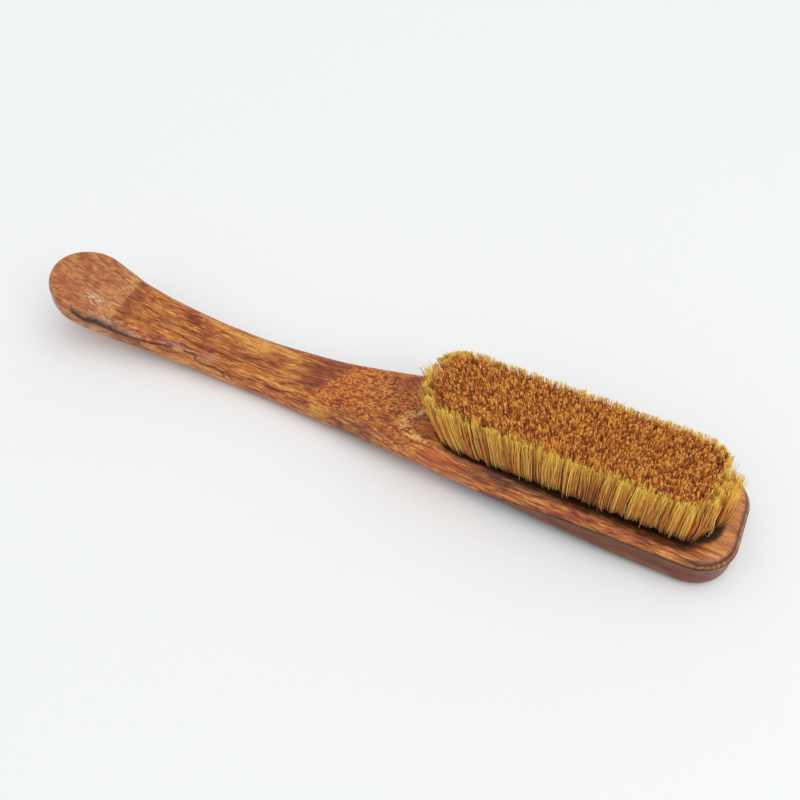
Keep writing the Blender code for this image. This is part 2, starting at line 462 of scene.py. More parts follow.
def handle_grid():
    """Vertices, faces and, for each vertex, its arc below the top's edge and past the cut line."""
    loop, half_count = outline_loop()
    verts = []
    arcs = []
    lines = []
    rings = []
    for place, normal in loop:
        marks, insets, drops, line = ring_places(place.x)
        full = thickness(place.x)
        ring = []
        for mark, inset, drop in zip(marks, insets, drops):
            spot = place + normal * float(inset)
            ring.append(len(verts))
            verts.append((spot.x, spot.y, top_height(spot.x) - drop * thickness(spot.x) / full))
            arcs.append(mark)
            lines.append(mark - line)
        rings.append(ring)

    faces = []
    count = len(rings)
    depth = len(rings[0])
    for i in range(count):
        here = rings[i]
        after = rings[(i + 1) % count]
        for j in range(depth - 1):
            faces.append((here[j], here[j + 1], after[j + 1], after[j]))

    for level, sign, height in ((0, -1.0, top_height), (depth - 1, 1.0, bottom_height)):
        rows = []
        for r in range(1, half_count + 1):
            left = rings[r][level]
            right = rings[count - r][level]
            row = [left]
            if r == half_count:
                row += [rings[r + k][level] for k in range(1, ACROSS_STEPS)]
            else:
                for k in range(1, ACROSS_STEPS):
                    share = k / ACROSS_STEPS
                    x, y, _ = verts[left]
                    row.append(len(verts))
                    verts.append((x, y * (1.0 - 2.0 * share), height(x)))
                    inward = y * (1.0 - abs(1.0 - 2.0 * share))
                    arcs.append(arcs[left] + sign * inward)
                    lines.append(lines[left] + sign * inward)
            row.append(right)
            rows.append(row)
        turn = 1 if level == 0 else -1
        tip = rings[0][level]
        for k in range(ACROSS_STEPS):
            faces.append((tip, rows[0][k], rows[0][k + 1])[::turn])
        for here, after in zip(rows, rows[1:]):
            for k in range(ACROSS_STEPS):
                faces.append((here[k], after[k], after[k + 1], here[k + 1])[::turn])
    verts = np.array(verts)
    verts[:, 1] += [through(SIDE_BOWS, x) for x in verts[:, 0]]
    return verts, faces, np.array(arcs), np.array(lines)


# Markings, in millimetres: along the handle, and across it or down from the edge of the top face.
# A pair named START, END or FADE says where a mark is absent and where it is whole. A pair named X,
# Y or ARC is a middle and a reach.
TOP_FADE = (4.0, 0.0)
WANDER = 0.5
WANDER_SCALE = 0.45
WAVER_SCALE = 0.11

# The stain round the bristles, as a box with round corners, and the smoke past it.
STAIN_BOX = (150.8, 234.6, 12.4, 9.0)
STAIN_FADE = (1.2, 0.1)
SEEP_FADE = (3.1, 1.5)
SEEP_WANDER = 0.9
SMOKE_FADE = (5.4, 3.2)
SMOKE_WANDER = 1.4
SMOKE_START = (160.0, 174.0)
BESIDE_START = (147.0, 156.0)
BESIDE_END = (232.0, 226.0)

# The speckled figure, whose front edge is a bent line through a point, and the deep red before it.
FRONT_X = 106.2
FRONT_Y = -6.7
FRONT_SLOPES = (0.45, -2.1)
FRONT_SOFTNESS = 0.8
FRONT_WANDER = 2.0
SPECKLE_END = (152.0, 142.0)
DEEP_START = (94.0, 104.0)
DEEP_SIDE_START = (-8.5, -4.0)
DEEP_SPOT_X = (133.0, 5.0)
DEEP_SPOT_Y = (7.5, 3.5)

# The golden band along the far side of the waist: a painted highlight where the far shoulder catches the
# light.
FAR_HIGHLIGHT_X = 75.0
FAR_HIGHLIGHT_Y = 6.2
FAR_HIGHLIGHT_SLANT = 0.06
FAR_HIGHLIGHT_HALF_WIDTH = 2.3
FAR_HIGHLIGHT_START = (52.0, 66.0)
FAR_HIGHLIGHT_END = (104.0, 90.0)

# The crease where the pad's facet ends, a slanted line, with the marks beside it. The crease is darker,
# with painted shade in its hollow and dirt; the pad is lighter and pinker, partly a painted reflection
# of its tilted facet.
CREASE_X = 28.9
CREASE_SLANT = 0.095
CREASE_START = (-0.4, 0.2)
CREASE_END = (10.0, 1.0)
PAD_FADE = (0.3, -0.4)
PALE_START = (-11.0, -3.0)

# Tones on the side and the top: a painted dark reflection on the shoulder round the head's end,
# a darker and a redder patch on the near side, and a painted highlight on the top at the head's end.
CORNER_REFLECTION_ARC = (2.3, 0.7)
CORNER_REFLECTION_START = (222.0, 231.0)
DULL_X = (124.0, 12.0)
DULL_START = (-0.5, 1.5)
ROSY_X = (154.0, 9.0)
ROSY_START = (0.5, 3.0)
HEAD_END_HIGHLIGHT_START = (229.0, 236.0)

# Cracks, flakes, knots and the pale flash by the bristles.
CRACK_WIDTH = 0.48
CRACK_GAPE = 0.85
CRACK_GAPE_X = (24.0, 9.0)
CRACK_WANDER = 0.5
SHORT_CRACK_WIDTH = 0.42
HALO_WIDTH = 1.6
HALO_END = (44.0, 34.0)
FLASH_WIDTH = 1.2
FLASH_WANDER = 1.5
FLASH_SIDE_FADE = (1.6, 0.6)
FLASH_LINE_WIDTH = 0.35
# A pale spot on the pad's near side: painted reflection.
SHEEN_SPOT_PATCHES = ((20.8, -6.4, 3.6, 2.0),)
LONG_CRACK = (
    (17.6, 2.6),
    (20.2, 3.5),
    (21.6, 3.8),
    (25.6, 3.0),
    (28.3, 3.6),
    (34.0, 4.5),
    (40.0, 4.6),
    (46.0, 4.1),
    (53.0, 2.9),
)
SHORT_CRACK = ((58.0, 2.8), (62.6, 2.9), (62.2, 4.3), (64.7, 4.6), (70.2, 4.3), (72.9, 4.9), (73.8, 6.8))
FLAKES = ((28.0, 2.4, 5.5, 1.3), (37.0, 3.6, 4.0, 1.0), (54.0, 2.3, 5.0, 0.8), (67.0, 2.1, 3.5, 0.9))
KNOTS = ((79.0, -1.6, 5.0, 0.9), (104.0, -4.0, 3.0, 1.0), (46.0, -2.0, 3.0, 0.6), (133.0, -9.0, 2.0, 1.2))
FLASH = ((142.5, -3.0), (139.6, -4.9), (138.4, -7.8), (140.4, -10.6), (143.6, -12.9), (151.0, -14.4))
FLASH_LINE = ((143.8, -3.0), (142.9, -6.2), (142.3, -8.8))

# The eye in the grain.
EYE_PLACE = (146.0, -8.0)
EYE_REACH = (12.0, 4.5)
EYE_BEND = 3.2


def patches(x, v, places):
    """Soft oval patches, as (place along, place across, half length, half width)."""
    share = np.zeros(len(x))
    for middle_x, middle_v, long, wide in places:
        share = np.maximum(share, np.exp(-(((x - middle_x) / long) ** 2) - ((v - middle_v) / wide) ** 2))
    return share


def wood_zones(verts, arcs, lines):
    """Where the wood's markings are: a share from 0 to 1 on each vertex, by name."""
    x = verts[:, 0] / MM
    y = verts[:, 1] / MM
    arc = arcs / MM
    near = y < 0.0
    top = soft_step(*TOP_FADE, arc)
    wander = WANDER * noise_values(verts / MM, WANDER_SCALE, seed=3.0)

    outside = rounded_box_distance(x, y, *STAIN_BOX)
    beside = soft_step(*BESIDE_START, x) * soft_step(*BESIDE_END, x)
    seep = soft_step(*SEEP_FADE, outside + SEEP_WANDER * wander) * beside
    smoke = soft_step(*SMOKE_FADE, outside + SMOKE_WANDER * wander) * beside

    slope = np.where(y > FRONT_Y, *FRONT_SLOPES)
    past_front = x - (FRONT_X + slope * (y - FRONT_Y) + FRONT_WANDER * wander)
    speckle = soft_step(-FRONT_SOFTNESS, FRONT_SOFTNESS, past_front) * soft_step(*SPECKLE_END, x) * top
    deep = soft_step(*DEEP_START, x) * soft_step(FRONT_SOFTNESS, -FRONT_SOFTNESS, past_front)
    deep *= soft_step(*DEEP_SIDE_START, y)
    deep = np.maximum(deep, bump_at(*DEEP_SPOT_X, x) * bump_at(*DEEP_SPOT_Y, y))
    # Painted highlight along the far edge of the waist's top.
    far_edge_highlight = bump_at(0.0, FAR_HIGHLIGHT_HALF_WIDTH, y - FAR_HIGHLIGHT_Y + FAR_HIGHLIGHT_SLANT * (x - FAR_HIGHLIGHT_X))
    far_edge_highlight *= soft_step(*FAR_HIGHLIGHT_START, x) * soft_step(*FAR_HIGHLIGHT_END, x)

    crack = np.zeros(len(x))
    long_width = CRACK_WIDTH + CRACK_GAPE * bump_at(*CRACK_GAPE_X, x)
    for path, width in ((LONG_CRACK, long_width), (SHORT_CRACK, SHORT_CRACK_WIDTH)):
        away = path_distance(path, x, arc + CRACK_WANDER * wander)
        crack = np.maximum(crack, near * bump_at(0.0, width, away))
    halo = near * bump_at(0.0, HALO_WIDTH, path_distance(LONG_CRACK, x, arc))
    flash = bump_at(0.0, FLASH_WIDTH, path_distance(FLASH, x, y + FLASH_WANDER * wander))
    from_crease = x - CREASE_X + CREASE_SLANT * y
    pad = soft_step(*PAD_FADE, from_crease)
    head_line = soft_step(*LINE_START, verts[:, 0])
    return {
        "stain": np.maximum(soft_step(*STAIN_FADE, outside), seep),
        "smoke": smoke * soft_step(*SMOKE_START, x),
        "speckle": speckle,
        "deep": deep,
        "far_edge_highlight": far_edge_highlight,
        "pale": soft_step(*PALE_START, from_crease) * pad,
        "knots": patches(x, y, KNOTS),
        "flash": flash * soft_step(*FLASH_SIDE_FADE, arc),
        "flash_line": bump_at(0.0, FLASH_LINE_WIDTH, path_distance(FLASH_LINE, x, y)),
        "crack": crack,
        "halo": halo * soft_step(*HALO_END, x),
        "flake": near * patches(x, arc, FLAKES),
        # Painted reflection on the pad's near side.
        "sheen_spot": patches(x, y, SHEEN_SPOT_PATCHES),
        "line": bump_at(0.0, LINE_HALF_WIDTH, lines) * head_line,
        # Painted shade on the side below the cut line.
        "below": soft_step(*BELOW_START, lines) * head_line,
        # Darker in the crease: painted shade in its hollow, and dirt.
        "crease": soft_step(*CREASE_START, from_crease) * soft_step(*CREASE_END, from_crease),
        # The pad's tone: partly a painted reflection of its tilted facet.
        "pad": pad,
        # Painted dark reflection on the shoulder round the head's end.
        "corner": bump_at(*CORNER_REFLECTION_ARC, arc) * soft_step(*CORNER_REFLECTION_START, x),
        "dull": near * bump_at(*DULL_X, x) * soft_step(*DULL_START, arc),
        "rosy": near * bump_at(*ROSY_X, x) * soft_step(*ROSY_START, arc),
        # Painted highlight on the top at the head's end.
        "head_end_highlight": top * soft_step(*HEAD_END_HIGHLIGHT_START, x),
    }


def grain_coordinates(verts):
    """Board coordinates in millimetres, with the grain bending round the eye near the bristles."""
    grain = verts / MM
    away_x = (grain[:, 0] - EYE_PLACE[0]) / EYE_REACH[0]
    away_y = (grain[:, 1] - EYE_PLACE[1]) / EYE_REACH[1]
    pull = np.exp(-(away_x**2) - away_y**2)
    grain[:, 1] += EYE_BEND * pull * np.sign(away_y) * np.abs(away_y) ** 0.5
    return grain


def make_handle():
    """The handle as one fine mesh, with its cut line and cracks pressed in."""
    verts, faces, arcs, lines = handle_grid()
    mesh = bpy.data.meshes.new("handle_wood")
    mesh.from_pydata(verts.tolist(), [], faces)
    mesh.update()
    normals = np.array([v.normal for v in mesh.vertices])
    zones = wood_zones(verts, arcs, lines)
    depth = LINE_DEPTH * zones["line"] + CRACK_DEPTH * zones["crack"] + FLAKE_DEPTH * zones["flake"]
    depth += WAVER_DEPTH * noise_values(verts / MM, WAVER_SCALE, seed=11.0)
    shaped = verts - normals * depth[:, None]
    mesh.vertices.foreach_set("co", shaped.astype(np.float32).ravel())
    for name, values in zones.items():
        add_attribute(mesh, name, values)
    add_attribute(mesh, "grain", grain_coordinates(verts))
    mesh.polygons.foreach_set("use_smooth", [True] * len(mesh.polygons))
    mesh.transform(resting_pose())
    mesh.update()
    item = bpy.data.objects.new("handle_wood", mesh)
    bpy.context.scene.collection.objects.link(item)
    return item


# ---- Bristles ----


def field_corner(x, y):
    """Radius of the cut top's nearest corner: all four differ."""
    at_waist = np.where(y < 0.0, WAIST_CORNERS[0], WAIST_CORNERS[1])
    at_head = np.where(y < 0.0, HEAD_CORNERS[0], HEAD_CORNERS[1])
    return np.where(x < FIELD_MIDDLE_X, at_waist, at_head)


def inside_field(x, y):
    """Pulls points beyond the round corners of the cut top back to its outline."""
    y = np.clip(y, -FIELD_EDGE_Y, FIELD_EDGE_Y)
    corner = field_corner(x, y)
    for edge, way in zip(FIELD_ENDS, (-1.0, 1.0)):
        out_x = way * (x - edge) + corner
        out_y = np.abs(y) - FIELD_EDGE_Y + corner
        reach = np.hypot(out_x, out_y)
        beyond = (out_x > 0.0) & (out_y > 0.0) & (reach > corner)
        pull = np.where(beyond, corner / np.maximum(reach, 1e-9), 1.0)
        x = np.where(beyond, edge + way * (out_x * pull - corner), x)
        y = np.where(beyond, np.sign(y) * (FIELD_EDGE_Y - corner + out_y * pull), y)
    return x, y


def chance_at(first, second, kind):
    """A fixed chance value from 0 to 1 for each pair of whole numbers."""
    value = np.sin(first * 127.1 + second * 311.7 + kind * 74.7) * 43758.5453
    return value - np.floor(value)


def nearest_lock(x, y, pitch):
    """The nearest of many scattered points, where hairs draw together: its place and a chance value."""
    cell_x = np.floor(x / pitch)
    cell_y = np.floor(y / pitch)
    best = np.full(len(x), 1.0)
    found = np.zeros((3, len(x)))
    for step_x in (-1, 0, 1):
        for step_y in (-1, 0, 1):
            lock_x = (cell_x + step_x + chance_at(cell_x + step_x, cell_y + step_y, 1)) * pitch
            lock_y = (cell_y + step_y + chance_at(cell_x + step_x, cell_y + step_y, 2)) * pitch
            chance = chance_at(cell_x + step_x, cell_y + step_y, 3)
            gap = np.hypot(x - lock_x, y - lock_y)
            found = np.where(gap < best, np.stack([lock_x, lock_y, chance]), found)
            best = np.minimum(best, gap)
    return found


def edge_distance(x, y):
    """How far inside the outline of the cut top each point is."""
    return -rounded_box_distance(x, y, *FIELD_ENDS, FIELD_EDGE_Y, field_corner(x, y))


def outward_way(x, y):
    """Which way is outwards at each point near the outline of the cut top."""
    step = 0.0001
    slope_x = edge_distance(x - step, y) - edge_distance(x + step, y)
    slope_y = edge_distance(x, y - step) - edge_distance(x, y + step)
    size = np.maximum(np.hypot(slope_x, slope_y), 1e-9)
    return slope_x / size, slope_y / size


def tuft_disc(rng):
    """Hairs spread evenly over a disc of radius 1, and how much farther a square reaches."""
    index = np.arange(HAIRS)
    radius = np.sqrt((index + 0.5) / HAIRS)
    angle = index * GOLDEN_ANGLE + rng.normal(0.0, ANGLE_JITTER, HAIRS)
    to_square = 1.0 / np.maximum(np.abs(np.cos(angle)), np.abs(np.sin(angle)))
    return radius * np.cos(angle), radius * np.sin(angle), to_square


def cut_places(column, row, across, sideways, rng):
    """Where a tuft's hairs meet the cut top: its own cell of the field, a little overlapped."""
    base_y = ROW_PITCH * (row - 0.5 * (ROWS - 1))
    last_column = COLUMNS - 1
    neighbours = 2 if 0 < column < last_column else 1
    span = tip_x(min(column + 1, last_column)) - tip_x(max(column - 1, 0))
    half_length = 0.5 * span / neighbours
    cut_x = tuft_middle(column) + across * half_length * TUFT_OVERLAP
    cut_y = base_y + sideways * 0.5 * ROW_PITCH * TUFT_OVERLAP
    if column == last_column - 1 and row in (0, ROWS - 1):
        cut_x += CORNER_SPREAD * np.maximum(across, 0.0)
    if column == last_column:
        way = np.sign(base_y)
        cut_y += CORNER_SPREAD * way * np.maximum(way * sideways, 0.0)
    cut_x += rng.normal(0.0, TIP_JITTER, HAIRS)
    cut_y += rng.normal(0.0, TIP_JITTER, HAIRS)
    return inside_field(cut_x, cut_y)


def head_share(column):
    """0 at the waist, rising steeply to 1 at the last column."""
    return (column / (COLUMNS - 1)) ** HEAD_SHARE_POWER


def tuft_middle(column):
    """Where the middle of a tuft's hair tips stands: the last tufts lean inwards."""
    return tip_x(column) - HEAD_LEAN * head_share(column)


def tuft_hairs(column, row):
    """Root, tip, bow and looks of each hair of one tuft, in the head's frame."""
    rng = np.random.default_rng(1000 * column + 10 * row + 7)
    disc_x, disc_y, to_square = tuft_disc(rng)
    cut_x, cut_y = cut_places(column, row, disc_x * to_square, disc_y * to_square, rng)
    depth_in = edge_distance(cut_x, cut_y)
    outer = soft_step(*OUTER, depth_in)

    wisp_x, wisp_y, wisp = nearest_lock(cut_x, cut_y, WISP_PITCH)
    lock_x, lock_y, lock = nearest_lock(cut_x, cut_y, LOCK_PITCH)
    rim = soft_step(*RIM, depth_in)
    pull = LOCK_PULL_INSIDE + (LOCK_PULL_AT_RIM - LOCK_PULL_INSIDE) * rim
    cut_x += pull * (lock_x - cut_x)
    cut_y += pull * (lock_y - cut_y)
    cut_x += WISP_PULL * rim * (wisp_x - cut_x)
    cut_y += WISP_PULL * rim * (wisp_y - cut_y)
    cut_x, cut_y = inside_field(cut_x, cut_y)

    places = np.stack([cut_x, cut_y, np.zeros(HAIRS)], axis=1) / MM
    sway_x = noise_values(places, SWAY_SCALE, seed=21.0)
    sway_y = noise_values(places, SWAY_SCALE, seed=43.0)
    cut_x += SWAY_X * sway_x
    cut_y += SWAY_Y * sway_y

    height = BRISTLE_HEIGHT - TRIM_LOSS + LOCK_STEP * (lock - 0.5) + rng.normal(0.0, TRIM_JITTER, HAIRS)
    tall = rng.random(HAIRS) < TALL_SHARE
    height += tall * rng.uniform(*TALL_RANGE, HAIRS)
    loose = rng.random(HAIRS) < LOOSE_SHARE
    splay = outer * (rng.exponential(SPLAY, HAIRS) + loose * rng.uniform(*LOOSE_RANGE, HAIRS))
    height += WISP_STEP * outer * (wisp - WISP_MIDDLE) - SPLAY_DROP * splay

    crossing = CROSSING * noise_values(places, CROSSING_SCALE, seed=67.0)
    crossing = outer * (crossing + rng.normal(0.0, CROSSING_JITTER, HAIRS))
    out_x, out_y = outward_way(cut_x, cut_y)
    cut_x += out_x * splay - out_y * crossing
    cut_y += out_y * splay + out_x * crossing

    base_x = FIELD_START + (FIELD_END - FIELD_START) * column / (COLUMNS - 1)
    root_x = base_x - HEAD_ROOT_PULL * head_share(column)
    root_y = ROW_PITCH * (row - 0.5 * (ROWS - 1))
    packed = ROOT_SHARE * HOLE_RADIUS * (1.0 + ROOT_SQUARENESS * (to_square - 1.0))
    bow = rng.normal(0.0, BOW_JITTER, (HAIRS, 2)) + BOW_SWAY * np.stack([sway_y, sway_x], axis=1)
    thinner = 1.0 - OUTER_THINNING * outer
    return {
        "root": np.stack([root_x + packed * disc_x, root_y + packed * disc_y], axis=1),
        "lean": np.array([tuft_middle(column) - root_x, 0.0]),
        "tip": np.stack([cut_x, cut_y], axis=1),
        "bow": bow,
        "height": height,
        "radius": HAIR_RADIUS * rng.uniform(*HAIR_RADIUS_RANGE, HAIRS) * thinner,
        "turn": rng.uniform(0.0, 2.0 * math.pi, HAIRS),
        "shade": rng.random(HAIRS),
        "lock": np.clip(lock + WISP_SHADE * outer * (2.0 * wisp - 1.0), 0.0, 1.0),
        "outer": outer,
    }


def hair_vertices(hairs):
    """Vertex places as an array of hairs, rings up the hair, and corners round each ring."""
    t = np.array(HAIR_RINGS)
    opened = (1.0 - np.exp(-t / SPLAY_RATE) * (1.0 - t))[None, :, None]
    root = hairs["root"][:, None, :]
    lean = hairs["lean"][None, None, :]
    splay = hairs["tip"][:, None, :] - root - lean
    bow = hairs["bow"][:, None, :] * np.sin(math.pi * t)[None, :, None]
    centre = root + lean * t[None, :, None] + splay * opened + bow
    z = -ROOT_DEPTH + (hairs["height"][:, None] + ROOT_DEPTH) * t[None, :]
    corner = hairs["turn"][:, None] + 2.0 * math.pi * np.arange(HAIR_SIDES)[None, :] / HAIR_SIDES
    thinner = TIP_TAPER + OUTER_TIP_TAPER * hairs["outer"]
    taper = hairs["radius"][:, None] * (1.0 - thinner[:, None] * t[None, :] ** 2)
    verts = np.empty((len(z), HAIR_SEGMENTS + 1, HAIR_SIDES, 3))
    verts[..., 0] = centre[:, :, None, 0] + taper[:, :, None] * np.cos(corner)[:, None, :]
    verts[..., 1] = centre[:, :, None, 1] + taper[:, :, None] * np.sin(corner)[:, None, :]
    verts[..., 2] = z[:, :, None]
    return verts, t


def hair_faces(count):
    """Faces of every hair, and for each face corner its place across and along the hair."""
    ring = HAIR_SIDES
    sides = []
    places = []
    for segment in range(HAIR_SEGMENTS):
        for side in range(ring):
            a = segment * ring + side
            b = segment * ring + (side + 1) % ring
            sides.append((a, b, b + ring, a + ring))
            low = HAIR_RINGS[segment]
            high = HAIR_RINGS[segment + 1]
            places += [(0.0, low), (1.0, low), (1.0, high), (0.0, high)]
    top = HAIR_SEGMENTS * ring
    ends = [tuple(range(top, top + ring)), tuple(reversed(range(ring)))]
    places += [(0.0, 1.0), (1.0, 1.0), (0.5, 0.97), (0.0, 0.0), (1.0, 0.0), (0.5, 0.03)]
    per_hair = (HAIR_SEGMENTS + 1) * ring
    faces = []
    for hair in range(count):
        shift = hair * per_hair
        faces += [tuple(v + shift for v in face) for face in sides + ends]
    return faces, np.array(places)


def bake_cells(count, places):
    """Texture coordinates that give each hair its own cell of the map."""
    rows = math.ceil(count / BAKE_COLUMNS)
    inner = BAKE_MARGIN + (1.0 - 2.0 * BAKE_MARGIN) * places
    hair = np.arange(count)
    corner = np.stack([hair % BAKE_COLUMNS, hair // BAKE_COLUMNS], axis=1)
    return (corner[:, None, :] + inner[None, :, :]) / np.array([BAKE_COLUMNS, rows])


def make_tuft(column, row, material, pose):
    """One tuft of separate hairs, standing for its CAD node."""
    node = f"tuft_column_{column + 1:02d}_row_{row + 1}"
    hairs = tuft_hairs(column, row)
    verts, t = hair_vertices(hairs)
    faces, places = hair_faces(HAIRS)
    mesh = bpy.data.meshes.new(node + "_hair")
    mesh.from_pydata(verts.reshape(-1, 3).tolist(), [], faces)
    per_hair = (HAIR_SEGMENTS + 1) * HAIR_SIDES
    along = np.tile(np.repeat(t, HAIR_SIDES), HAIRS)
    add_attribute(mesh, "along", along)
    for name in ("shade", "lock", "outer"):
        add_attribute(mesh, name, np.repeat(hairs[name], per_hair))
    layer = mesh.uv_layers.new(name="OFBake")
    layer.data.foreach_set("uv", bake_cells(HAIRS, places).astype(np.float32).ravel())
    round_sides = [True] * (HAIR_SEGMENTS * HAIR_SIDES) + [False, False]
    mesh.polygons.foreach_set("use_smooth", round_sides * HAIRS)
    mesh.materials.append(material)
    mesh.transform(pose)
    mesh.update()
    item = bpy.data.objects.new(node + "_hair", mesh)
    bpy.context.scene.collection.objects.link(item)
    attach(item, BODY)
    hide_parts(node)


# ---- Materials ----


class Graph:
    """A material's nodes, with short calls for the ones used most."""

    def __init__(self, name):
        self.material = bpy.data.materials.new(name)
        self.material.use_nodes = True
        self.nodes = self.material.node_tree.nodes
        self.links = self.material.node_tree.links
        self.shader = self.nodes["Principled BSDF"]

    def put(self, node, socket, value):
        """Sets a socket to a number, a colour or another node's output."""
        target = node.inputs[socket]
        if isinstance(value, bpy.types.NodeSocket):
            self.links.new(value, target)
        else:
            target.default_value = value

    def attribute(self, name, output="Fac"):
        """A number or a vector stored on the mesh."""
        node = self.nodes.new("ShaderNodeAttribute")
        node.attribute_name = name
        return node.outputs[output]

    def stretched(self, vector, factors, shift=(0.0, 0.0, 0.0)):
        """A vector times a factor on each axis, plus a shift."""
        node = self.nodes.new("ShaderNodeMapping")
        self.put(node, "Vector", vector)
        self.put(node, "Scale", factors)
        self.put(node, "Location", shift)
        return node.outputs["Vector"]

    def added(self, first, second):
        """The sum of two vectors."""
        node = self.nodes.new("ShaderNodeVectorMath")
        node.operation = "ADD"
        self.put(node, 0, first)
        self.put(node, 1, second)
        return node.outputs["Vector"]

    def combined(self, x, y, z):
        """A vector from three numbers."""
        node = self.nodes.new("ShaderNodeCombineXYZ")
        for socket, value in zip("XYZ", (x, y, z)):
            self.put(node, socket, value)
        return node.outputs["Vector"]

    def noise(self, vector, detail=3.0, rough=0.55, distortion=0.0):
        """Noise of scale 1 along the vector."""
        node = self.nodes.new("ShaderNodeTexNoise")
        self.put(node, "Vector", vector)
        self.put(node, "Scale", 1.0)
        self.put(node, "Detail", detail)
        self.put(node, "Roughness", rough)
        self.put(node, "Distortion", distortion)
        return node.outputs["Fac"]

    def maths(self, operation, first, second):
        """One step of arithmetic."""
        node = self.nodes.new("ShaderNodeMath")
        node.operation = operation
        self.put(node, 0, first)
        self.put(node, 1, second)
        return node.outputs["Value"]

    def times(self, first, second):
        """The product of two numbers."""
        return self.maths("MULTIPLY", first, second)

    def plus(self, first, second):
        """The sum of two numbers."""
        return self.maths("ADD", first, second)

    def rescaled(self, value, low, high, start=0.0, end=1.0):
        """The value carried from low..high to start..end, and held there."""
        node = self.nodes.new("ShaderNodeMapRange")
        node.clamp = True
        for socket, number in (("Value", value), ("From Min", low), ("From Max", high)):
            self.put(node, socket, number)
        self.put(node, "To Min", start)
        self.put(node, "To Max", end)
        return node.outputs["Result"]

    def ramp(self, value, stops):
        """A colour ramp through (place, colour) stops."""
        node = self.nodes.new("ShaderNodeValToRGB")
        self.put(node, "Fac", value)
        elements = node.color_ramp.elements
        while len(elements) < len(stops):
            elements.new(0.5)
        for element, (place, colour) in zip(elements, stops):
            element.position = place
            element.color = colour
        return node.outputs["Color"]

    def mixed(self, share, first, second):
        """Two colours mixed by a share."""
        node = self.nodes.new("ShaderNodeMix")
        node.data_type = "RGBA"
        self.put(node, 0, share)
        self.put(node, 6, first)
        self.put(node, 7, second)
        return node.outputs[2]

    def marked(self, colour, zone, share, tone):
        """The colour with a tone laid over it where the mesh has a zone, by a share."""
        return self.mixed(self.times(self.attribute(zone), share), colour, tone)

    def bumped(self, height, strength, distance):
        """A bump from a height."""
        node = self.nodes.new("ShaderNodeBump")
        self.put(node, "Height", height)
        self.put(node, "Strength", strength)
        self.put(node, "Distance", distance)
        return node.outputs["Normal"]


DARK_STREAK = srgb(84, 32, 14)
RED_BROWN = srgb(146, 66, 30)
ORANGE_BROWN = srgb(184, 102, 44)
GOLD_STREAK = srgb(222, 162, 74)
STAIN = srgb(16, 9, 5)
SMOKE = srgb(50, 27, 12)
GREY_WEAR = srgb(178, 138, 122)


